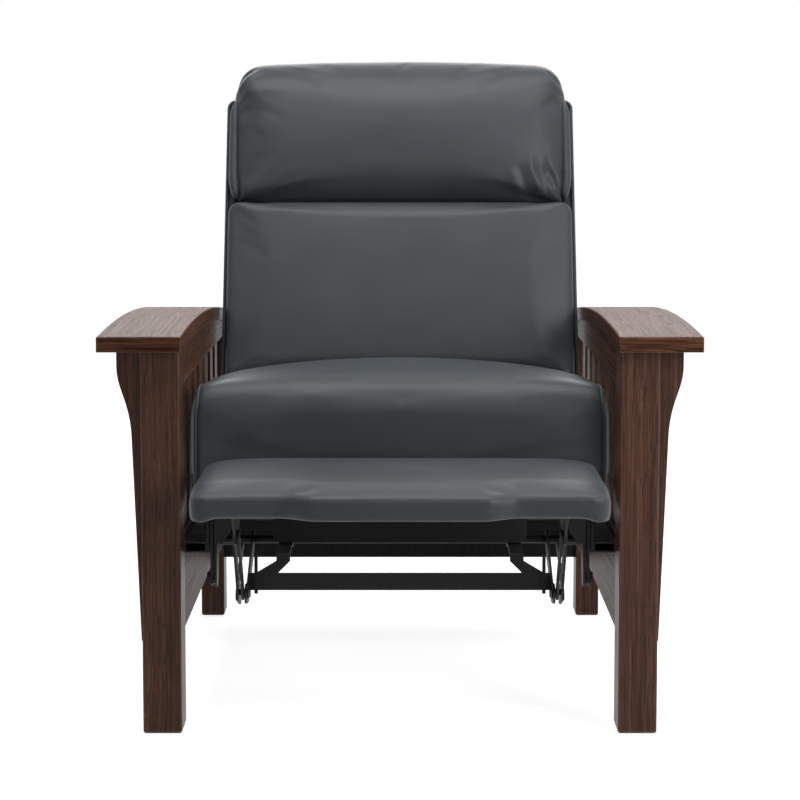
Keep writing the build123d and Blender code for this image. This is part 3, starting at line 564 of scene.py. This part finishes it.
hide = leather("blue_grey_hide", (0.042, 0.048, 0.053), 0.43)
# Painted highlight: the welts get a lighter copy of the hide, so that the seams read as light lines.
highlight_welt_hide = leather("highlight_welt_hide", (0.048, 0.055, 0.061), 0.40)


# Seat cushion: a deep crowned box of foam, its front rolled down over the seat rail, with a
# boxed side panel sewn on through a welt. The cover swells a little between its seams.
def outline(corners, count):
    """A closed outline of straight runs and tangent arcs, as count points evenly along it.
    Each corner is (a, b, radius); an arc's centre lies on the corner's bisector."""
    pieces = []
    for i, (a, b, radius) in enumerate(corners):
        corner = np.array((a, b))
        back = np.array(corners[i - 1][:2]) - corner
        ahead = np.array(corners[(i + 1) % len(corners)][:2]) - corner
        back /= np.linalg.norm(back)
        ahead /= np.linalg.norm(ahead)
        half = math.acos(np.clip(back @ ahead, -1, 1)) / 2
        bisector = back + ahead
        centre = corner + bisector / np.linalg.norm(bisector) * radius / math.sin(half)
        start = corner + back * radius / math.tan(half) - centre
        end = corner + ahead * radius / math.tan(half) - centre
        first = math.atan2(start[1], start[0])
        turn = (math.atan2(end[1], end[0]) - first + math.pi) % (2 * math.pi) - math.pi
        angles = first + turn * np.linspace(0, 1, 9)
        pieces.append(centre + radius * np.stack([np.cos(angles), np.sin(angles)], 1))
    loop = np.concatenate(pieces)
    loop = np.concatenate([loop, loop[:1]])
    steps = np.linalg.norm(np.diff(loop, axis=0), axis=1)
    run = np.concatenate([[0], np.cumsum(steps)])
    at = np.linspace(0, run[-1], count, endpoint=False)
    return np.stack([np.interp(at, run, loop[:, k]) for k in range(2)], 1)


def skin(name, rings, body, material):
    """A leather piece through rings of points, an array (rings, points, 3), closed at both
    ends by a pole at the end ring's middle."""
    m, n = rings.shape[:2]
    poles = rings[[0, -1]].mean(axis=1)
    points = np.concatenate([rings.reshape(-1, 3), poles])
    around = np.arange(n)
    after = (around + 1) % n
    first = np.stack([np.full(n, m * n), after, around], -1)
    last = np.stack([np.full(n, m * n + 1), (m - 1) * n + around, (m - 1) * n + after], -1)
    faces = quad_grid(m, n).tolist() + first.tolist() + last.tolist()
    return closed_piece(name, points, faces, material, body)


def stations(half, rounding, count):
    """Places across a pad from -half to half, closer together where its ends turn round."""
    middle = np.linspace(-(half - rounding), half - rounding, count)
    ends = half - rounding + rounding * np.sin(np.linspace(0, quarter, 12)[1:])
    return np.concatenate([-ends[::-1], middle, ends])


def corner_inset(x, half, radius):
    """How far a round corner of the radius has fallen back at x on a pad of the half width:
    the radius less the height of its circle there."""
    past = min(max(abs(x) - (half - radius), 0.0), radius)
    return radius - math.sqrt(radius**2 - past**2)


def sections(across, section):
    """Rings of points: the side outline at each place across."""
    rings = []
    for x in across:
        loop = section(x)
        rings.append(np.column_stack([np.full(len(loop), x), loop]))
    return np.stack(rings)


def capped(rings, bulge, power=2):
    """Adds ten rings that shrink to each end's middle, closer together at the rim, and stand
    out along X by the bulge times the square root of one less a power of the share left."""
    def cap(ring, sign):
        middle = ring.mean(axis=0)
        share = 1 - 0.94 * (np.linspace(0, 1, 11)[1:, None, None]) ** 1.6
        out = middle + (ring - middle) * share
        out[:, :, 0] += sign * bulge * np.sqrt(1 - share[:, :, 0] ** power)
        return out
    return np.concatenate([cap(rings[0], -1)[::-1], rings, cap(rings[-1], 1)])


def tube(name, path, radius, body, closed=False, around=8, material=None):
    """A welt: a circle carried along the path, its frame kept from twisting by the path's
    own plane direction. The ends of an open path are closed by poles."""
    path = np.asarray(path, float)
    ahead = np.roll(path, -1, 0) - np.roll(path, 1, 0)
    if not closed:
        ahead[0], ahead[-1] = path[1] - path[0], path[-1] - path[-2]
    ahead /= np.linalg.norm(ahead, axis=1)[:, None]
    flat = np.cross(ahead, [1.0, 0.0, 0.0])
    weak = np.linalg.norm(flat, axis=1) < 0.2
    flat[weak] = np.cross(ahead[weak], [0.0, 1.0, 0.0])
    flat /= np.linalg.norm(flat, axis=1)[:, None]
    other = np.cross(ahead, flat)
    angle = np.linspace(0, 2 * math.pi, around, endpoint=False)[None, :, None]
    spokes = np.cos(angle) * flat[:, None] + np.sin(angle) * other[:, None]
    rings = path[:, None] + radius * spokes
    if closed:
        rings = np.concatenate([rings, rings[:1]])
    return skin(name, rings, body, material or highlight_welt_hide)


def smooth_step(value, low, high):
    """0 below low, 1 above high, and an even S between them."""
    share = np.clip((value - low) / (high - low), 0, 1)
    return share * share * (3 - 2 * share)


def read_points(piece):
    """The piece's points as an array."""
    flat = np.empty(len(piece.data.vertices) * 3)
    piece.data.vertices.foreach_get("co", flat)
    return flat.reshape(-1, 3)


def write_points(piece, points):
    """Puts the piece's points at new places."""
    piece.data.vertices.foreach_set("co", points.ravel())
    piece.data.update()


def evaluated(piece):
    """The piece's mesh with its modifiers applied, which then replaces its own."""
    graph = bpy.context.evaluated_depsgraph_get()
    mesh = bpy.data.meshes.new_from_object(piece.evaluated_get(graph))
    old = piece.data
    piece.modifiers.clear()
    piece.data = mesh
    bpy.data.meshes.remove(old)


def stuffed(piece, held, pressure, most, voxel=0.006, settle=6):
    """Remeshes a pad evenly, swells it as cloth under pressure with the held points fixed,
    caps how far any point has moved, and rounds it with one subdivision. held is a function
    from points to weights, 1 where a seam or the frame holds the cover."""
    name = piece.data.name
    remesh = piece.modifiers.new("even", "REMESH")
    remesh.mode = "VOXEL"
    remesh.voxel_size = voxel
    evaluated(piece)
    start = read_points(piece)
    group = piece.vertex_groups.new(name="held")
    group.add(np.flatnonzero(held(start) > 0).tolist(), 1.0, "REPLACE")
    cloth = piece.modifiers.new("cover", "CLOTH")
    cloth.settings.quality = 4
    cloth.settings.mass = 0.4
    cloth.settings.tension_stiffness = 12
    cloth.settings.compression_stiffness = 12
    cloth.settings.bending_stiffness = 2.0
    cloth.settings.use_pressure = True
    cloth.settings.uniform_pressure_force = pressure
    cloth.settings.effector_weights.gravity = 0
    cloth.settings.vertex_group_mass = "held"
    scene = bpy.context.scene
    last_frame = 20
    for step in range(1, last_frame + 1):
        scene.frame_set(step)
    evaluated(piece)
    moved = read_points(piece) - start
    length = np.linalg.norm(moved, axis=1)[:, None]
    write_points(piece, start + moved * np.minimum(1, most / np.maximum(length, 1e-9)))
    scene.frame_set(1)
    piece.vertex_groups.clear()
    smooth = piece.modifiers.new("even", "SMOOTH")
    smooth.iterations = settle
    smooth.factor = 0.5
    rounder = piece.modifiers.new("round", "SUBSURF")
    rounder.levels = rounder.render_levels = 1
    evaluated(piece)
    piece.data.name = name
    piece.data.shade_smooth()


seat_low, seat_high = (np.array(corner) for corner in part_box("seat_cushion"))
rail_front, rail_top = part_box("seat_side_rail_right")[0].y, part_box("seat_side_rail_right")[1].z
seat_top = seat_high[2] - 0.006
seat_seam = seat_high[0] - 0.0105
seat_half_most = 0.3135
seat_round = 0.012
seat_sink = 0.35
seat_points = 150


def seat_section(sink):
    """Side outline of the seat at an inset: top, rolled front and the notch behind its roll."""
    front, rear, foot = seat_low[1] + 0.004, seat_high[1], seat_low[2]
    notch_y, notch_z = rail_front - 0.0006, rail_top + 0.002
    return outline(
        [
            (rear - 0.036 - sink, notch_z, 0.006),
            (notch_y, notch_z, 0.001),
            (notch_y, foot, 0.001),
            (front + sink * 0.5, foot, 0.006),
            (front + 0.002 + sink * 0.6, seat_top - sink, 0.034),
            (rear - sink, seat_top - sink - 0.002, 0.020),
        ],
        seat_points,
    )


def drawn_in(z):
    """The share of its width that the seat keeps at z: a little less near its top."""
    return 1 - 0.012 * smooth_step(z, 0.46, 0.50)


def seat_shape(rings):
    """Crowns the top by a parabola along the seat, slopes it down to the rear, and lets its
    sides fall by the square of the share across, little at the front edge and more behind."""
    x, y, z = rings[..., 0], rings[..., 1], rings[..., 2]
    across = np.clip(np.abs(x) / seat_seam, 0, 1)
    depth = np.clip((y - seat_low[1]) / (seat_high[1] - seat_low[1]), 0, 1)
    upper = smooth_step(z, rail_top + 0.01, seat_top)
    crown = 0.015 * 4 * depth * (1 - depth) - 0.018 * depth
    fall = (0.006 + 0.017 * smooth_step(depth, 0.04, 0.42)) * across**2 + 0.006 * across**10
    return np.stack([x * drawn_in(z), y, z + upper * (crown - fall)], -1)


rings = sections(
    stations(seat_seam, seat_round, 44),
    lambda x: seat_section(corner_inset(x, seat_seam, seat_round) * seat_sink),
)
seat = skin("seat_cover", seat_shape(capped(rings, 0.0110, power=9)), "seat", hide)


def seat_held(points):
    """Held on the rails, along the rear and on both side seams."""
    x, y, z = points.T
    seam = np.abs(np.abs(x) / drawn_in(z) - seat_seam) < 0.0045
    return np.where((z < rail_top + 0.012) | (y > seat_high[1] - 0.04) | seam, 1.0, 0.0)


stuffed(seat, seat_held, 1.0, 0.004, voxel=0.005)
points = read_points(seat)
points[:, 0] = np.clip(points[:, 0], -seat_half_most, seat_half_most)
write_points(seat, points)
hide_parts("seat_cushion")
for side, sign in SIDES:
    loop = seat_section(seat_round * seat_sink - 0.0006)
    path = seat_shape(np.column_stack([np.full(seat_points, seat_seam * sign), loop])[None])[0]
    tube(f"seat_welt_{side}", path, 0.0020, "seat", closed=True)


# Back: its pads lean on the pine frame, so they are drawn in the back's own plane, up
# and forward of the recline pivot, and laid over by the angle of the back.
recline = next(joint for joint in frame["joints"] if joint["name"] == "recline")
back_tilt = math.radians(19.8)
back_origin = np.array(recline["pos_m"])


def on_back(x, up, forward):
    """Points from X and the back's own up and forward distances."""
    y = back_origin[1] + up * math.sin(back_tilt) - forward * math.cos(back_tilt)
    z = back_origin[2] + up * math.cos(back_tilt) + forward * math.sin(back_tilt)
    return np.stack(np.broadcast_arrays(x, y, z), -1)


def back_place(points):
    """X, up and forward of points in the frame."""
    y, z = points[:, 1] - back_origin[1], points[:, 2] - back_origin[2]
    up = y * math.sin(back_tilt) + z * math.cos(back_tilt)
    forward = -y * math.cos(back_tilt) + z * math.sin(back_tilt)
    return points[:, 0], up, forward


def back_pad(name, across, section, shape, bulge):
    """A pad on the back: its side outline at each place across, shaped, capped and laid over."""
    flat = shape(capped(sections(across, section), bulge))
    return skin(name, on_back(flat[..., 0], flat[..., 1], flat[..., 2]), "back", hide)


# Lumbar cushion: the main panel of the back, crowned, its top edge rolled in under the head
# pillow. Its top corners are rounded, and its sides spread a little over the wings.
lumbar_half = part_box("lumbar_cushion")[1].x - 0.003
lumbar_foot, lumbar_top = 0.028, 0.3435
lumbar_rear, lumbar_front = -0.0095, 0.034


def lumbar_section(x):
    sink = corner_inset(x, lumbar_half, 0.020)
    top = lumbar_top - corner_inset(x, lumbar_half, 0.024)
    return outline(
        [
            (lumbar_foot, lumbar_rear, 0.002),
            (lumbar_foot, lumbar_front - 0.006 - sink, 0.016),
            (top, lumbar_front - sink, 0.010),
            (lumbar_top + 0.0002, -0.002, 0.002),
            (lumbar_top, lumbar_rear, 0.001),
        ],
        110,
    )


def lumbar_shape(flat):
    """Crowns the front by a parabola up it, falling at the sides, and spreads it a little
    past the wings' front edges."""
    x, up, forward = flat[..., 0], flat[..., 1], flat[..., 2]
    across = np.clip(np.abs(x) / lumbar_half, 0, 1)
    tall = np.clip((up - lumbar_foot) / (lumbar_top - lumbar_foot), 0, 1)
    front = smooth_step(forward, 0.0, 0.03)
    x = x * (1 + 0.020 * smooth_step(forward, -0.006, 0.008))
    forward = forward + front * 0.011 * (1 - across**4) * 4 * tall * (1 - tall)
    return np.stack([x, up, forward], -1)


lumbar_x = stations(lumbar_half, 0.020, 40)
lumbar = back_pad("lumbar_cover", lumbar_x, lumbar_section, lumbar_shape, 0.001)


def lumbar_held(points):
    x, up, forward = back_place(points)
    return np.where((forward < 0.006) | (np.abs(x) > lumbar_half), 1.0, 0.0)


stuffed(lumbar, lumbar_held, 1.4, 0.005, settle=5)
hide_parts("lumbar_cushion")


# Head pillow: a thick bolster over the top of the back, tucked in above the lumbar cushion.
# Its cover is gathered at the corners, and soft folds run out from them over the front.
pillow_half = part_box("head_pillow")[1].x - 0.0045
pillow_foot, pillow_top = 0.3447, 0.607
pillow_front, pillow_rear = 0.050, -0.074
pillow_round = 0.045
saddle = 0.5205


def pillow_section(x):
    """Side outline of the pillow: its lip, front, round top and the step over the back."""
    fall = corner_inset(x, pillow_half, pillow_round)
    sink = corner_inset(x, pillow_half, 0.028)
    ease = 1 - 0.55 * fall / pillow_round
    top = pillow_top - fall
    return outline(
        [
            (pillow_foot, -0.0095, 0.002),
            (pillow_foot + 0.0002, -0.001, 0.001),
            (pillow_foot + sink * 0.4, pillow_front - 0.016 - sink, 0.022),
            (top, pillow_front - 0.002 - sink, 0.056 * ease),
            (top, pillow_rear + sink * 0.5, 0.040 * ease),
            (saddle, pillow_rear + sink * 0.5, 0.006),
            (saddle, -0.0095, 0.002),
        ],
        150,
    )


def pillow_shape(flat):
    """Bulges the front by a sine up it, and narrows the pillow a little at foot and top."""
    x, up, forward = flat[..., 0], flat[..., 1], flat[..., 2]
    across = np.clip(np.abs(x) / pillow_half, 0, 1)
    tall = np.clip((up - pillow_foot) / (pillow_top - pillow_foot), 0, 1)
    front = smooth_step(forward, 0.0, 0.04)
    forward = forward + front * 0.018 * (1 - across**4) * np.sin(math.pi * tall)
    up = up - smooth_step(up, saddle, pillow_top) * 0.006 * across**2
    foot_in, top_in = 1 - smooth_step(tall, 0.0, 0.25), smooth_step(tall, 0.7, 1.0)
    x = x * (1 - 0.014 * foot_in - 0.012 * top_in)
    return np.stack([x, up, forward], -1)


pillow_x = stations(pillow_half, pillow_round, 36)
pillow = back_pad("head_pillow_cover", pillow_x, pillow_section, pillow_shape, 0.004)


def pillow_held(points):
    x, up, forward = back_place(points)
    return np.where((forward < 0.002) & (up < saddle + 0.004), 1.0, 0.0)


def folded(piece, folds):
    """Presses folds into the front of a pad on the back. Each fold is (x, up, x, up, width,
    height): a ridge or valley whose section is a bell curve and which fades at both ends."""
    points = read_points(piece)
    x, up, forward = back_place(points)
    lift = np.zeros(len(points))
    for x_0, up_0, x_1, up_1, width, height in folds:
        run = np.array((x_1 - x_0, up_1 - up_0))
        length = np.linalg.norm(run)
        run /= length
        along = ((x - x_0) * run[0] + (up - up_0) * run[1]) / length
        bow = 0.10 * length * 4 * along * (1 - along)
        aside = -(x - x_0) * run[1] + (up - up_0) * run[0] - bow
        fade = smooth_step(along, -0.05, 0.22) * (1 - smooth_step(along, 0.55, 1.05))
        lift += height * np.exp(-((aside / width) ** 2)) * fade
    lift *= smooth_step(forward, -0.002, 0.014)
    write_points(piece, on_back(x, up, forward + lift))


stuffed(pillow, pillow_held, 2.2, 0.009, voxel=0.005)
folded(
    pillow,
    [
        (0.286, 0.362, 0.256, 0.436, 0.0075, 0.0036),
        (0.276, 0.346, 0.262, 0.404, 0.0060, -0.0034),
        (0.250, 0.350, 0.224, 0.432, 0.0085, 0.0034),
        (0.262, 0.344, 0.242, 0.414, 0.0065, -0.0034),
        (0.232, 0.344, 0.206, 0.404, 0.0080, -0.0026),
        (0.214, 0.346, 0.190, 0.404, 0.0090, 0.0018),
        (0.288, 0.380, 0.276, 0.430, 0.0040, -0.0020),
        (-0.290, 0.544, -0.244, 0.586, 0.0045, -0.0075),
        (-0.288, 0.534, -0.236, 0.576, 0.0045, 0.0030),
        (-0.286, 0.548, -0.200, 0.566, 0.0110, -0.0016),
        (-0.287, 0.524, -0.190, 0.528, 0.0110, 0.0016),
        (-0.287, 0.502, -0.196, 0.474, 0.0110, -0.0016),
        (-0.286, 0.480, -0.214, 0.446, 0.0100, 0.0012),
        (-0.283, 0.362, -0.240, 0.426, 0.0100, -0.0014),
        (-0.262, 0.350, -0.214, 0.408, 0.0090, 0.0012),
        (0.290, 0.548, 0.250, 0.586, 0.0045, -0.0040),
        (0.287, 0.540, 0.226, 0.552, 0.0100, -0.0010),
    ],
)
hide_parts("head_pillow")


# Boxed sides of the pillow: a narrow padded strip on each side, sewn on behind the front
# panel's seam. It swells out over the wing's front edge and tapers in at its foot.
side_foot, side_top = 0.350, 0.531
side_x, side_forward = 0.2880, 0.0105
side_thick, side_deep = 0.0092, 0.0165
rise = np.sin(np.linspace(-quarter, quarter, 44))
for side, sign in SIDES:
    up = side_foot + (side_top - side_foot) * (rise + 1) / 2
    share = (up - side_foot) / (side_top - side_foot)
    full = np.sqrt(np.clip(1 - np.abs(2 * share - 1) ** 7, 0.0004, 1))
    turn = np.linspace(0, 2 * math.pi, 24, endpoint=False)
    foot_in, top_in = 1 - smooth_step(share, 0.0, 0.22), smooth_step(share, 0.86, 1.0)
    middle = side_x - 0.0035 * foot_in - 0.003 * top_in
    x = middle[:, None] + side_thick * full[:, None] * np.cos(turn)
    forward = side_forward + side_deep * full[:, None] * np.sin(turn)
    strip = on_back(sign * x, np.repeat(up[:, None], 24, 1), forward)
    skin(f"pillow_side_{side}", strip, "back", hide)


# Wings and outside back: thin padded panels sewn round the back frame. Each wing stands
# beside the cushions with a rolled front edge, and the outside back closes the rear.
back_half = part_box("back_wing_right")[1].x
wing_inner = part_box("back_wing_right")[0].x + 0.0003
wing_foot, wing_top = 0.025, 0.537
wing_front = -0.0104
wing_rear_foot, wing_rear_top = -0.096, -0.066
wing_round = 0.007
wing_points = 120


def wing_section(sink):
    return outline(
        [
            (wing_foot + sink, wing_front - sink, 0.004),
            (wing_top - sink, wing_front - sink, 0.006),
            (wing_top - sink, wing_rear_top, 0.003),
            (wing_foot + sink, wing_rear_foot, 0.003),
        ],
        wing_points,
    )


roll_top, roll_bend, roll_out = 0.535, 0.013, back_half - 0.0046
for side, sign in SIDES:
    turn = np.linspace(0, quarter, 8)
    inner = wing_inner + wing_round - wing_round * np.sin(turn[::-1])
    outer = back_half - 0.0015 - wing_round + wing_round * np.sin(turn)
    places = np.concatenate([inner, outer])
    sinks = np.concatenate([(1 - np.cos(turn))[::-1], 1 - np.cos(turn)]) * wing_round
    flat = np.stack(
        [
            np.column_stack([np.full(wing_points, sign * place), wing_section(sink)])
            for place, sink in zip(places, sinks)
        ]
    )
    wing = skin(
        f"wing_cover_{side}", on_back(flat[..., 0], flat[..., 1], flat[..., 2]), "back", hide
    )
    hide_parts(f"back_wing_{side}")

    bend = np.linspace(0, quarter, 10)[1:]
    rise = np.linspace(wing_foot, roll_top - roll_bend, 40)
    up = np.concatenate([rise, roll_top - roll_bend + roll_bend * np.sin(bend), [roll_top]])
    inward = np.concatenate([np.zeros(40), roll_bend * (1 - np.cos(bend)), [roll_bend + 0.003]])
    forward = np.full(len(up), -0.0055)
    path = on_back(sign * (roll_out - inward), up, forward)
    tube(f"wing_roll_{side}", path, 0.0030, "back", around=12, material=hide)

rear_foot = -0.060
slope = (wing_rear_top - wing_rear_foot) / (wing_top - wing_foot)
rear_at_foot = wing_rear_foot + slope * (rear_foot - wing_foot)
rear_thickness = 0.008


def rear_section(x):
    sink = corner_inset(x, back_half, 0.0035)
    return outline(
        [
            (rear_foot + sink, rear_at_foot, 0.001),
            (wing_top - sink, wing_rear_top, 0.001),
            (wing_top - sink, wing_rear_top - rear_thickness + sink, 0.004),
            (rear_foot + sink, rear_at_foot - rear_thickness + sink, 0.003),
        ],
        120,
    )


outside = back_pad(
    "outside_back_cover", stations(back_half, 0.0035, 40), rear_section, lambda flat: flat, 0.0
)
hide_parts("outside_back")
for side, sign in SIDES:
    up = np.linspace(rear_foot + 0.004, wing_top - 0.006, 60)
    share = (up - rear_foot) / (wing_top - rear_foot)
    forward = rear_at_foot + (wing_rear_top - rear_at_foot) * share - rear_thickness + 0.001
    edge = np.full(len(up), sign * (back_half - 0.004))
    tube(f"outside_welt_{side}", on_back(edge, up, forward), 0.0022, "back")


# Footrest cushion: a pad wrapped round its board, with round corners, a nose in the middle
# of its front edge and full front corners that hang a little lower than the board.
rest_low, rest_high = (np.array(corner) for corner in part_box("footrest_cushion"))
rest_half = rest_high[0]
board_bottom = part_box("footrest_board")[0].z
nose_half, nose_step, nose_drop = 0.112, 0.050, 0.023
rest_round = 0.034
rest_top = rest_high[2] - 0.0005


def rest_section(x):
    """Side outline of the footrest at x: flat on top, its front edge crisp and its face
    leaning in below, the rear rolled."""
    step = smooth_step(abs(x), nose_half, nose_half + nose_step)
    corner = corner_inset(x, rest_half, 0.024)
    rear_corner = corner_inset(x, rest_half, rest_round)
    sink = corner_inset(x, rest_half, 0.010)
    droop = 0.008 * smooth_step(abs(x), rest_half - 0.040, rest_half - 0.012)
    front = rest_low[1] + nose_drop * step + 0.002 + corner
    rear = rest_high[1] - 0.002 - rear_corner
    front_top = rest_top - 0.0125 - sink
    foot = board_bottom + 0.0004 - droop
    return outline(
        [
            (rear - 0.003, board_bottom + 0.001, 0.008),
            (front + 0.070, board_bottom + 0.001, 0.020),
            (front + 0.008, foot, 0.009),
            (front, front_top, 0.008),
            (front + 0.045, rest_top - sink, 0.030),
            (rear, rest_top - 0.001 - sink, 0.011),
        ],
        130,
    )


def rest_shape(rings):
    """A slight crown across the pad, falling by the sixth power of the share across."""
    x, y, z = rings[..., 0], rings[..., 1], rings[..., 2]
    across = np.clip(np.abs(x) / rest_half, 0, 1)
    upper = smooth_step(z, board_bottom + 0.02, rest_top)
    z = z + upper * (0.0015 - 0.006 * across**6)
    return np.stack([x, y, z], -1)


rings = sections(stations(rest_half, rest_round, 70), rest_section)
footrest = skin("footrest_cover", rest_shape(capped(rings, 0.001)), "footrest", hide)


def rest_held(points):
    """Held all round under the board."""
    return np.where(points[:, 2] < board_bottom + 0.006, 1.0, 0.0)


stuffed(footrest, rest_held, 1.0, 0.002, voxel=0.005, settle=5)
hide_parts("footrest_cushion")
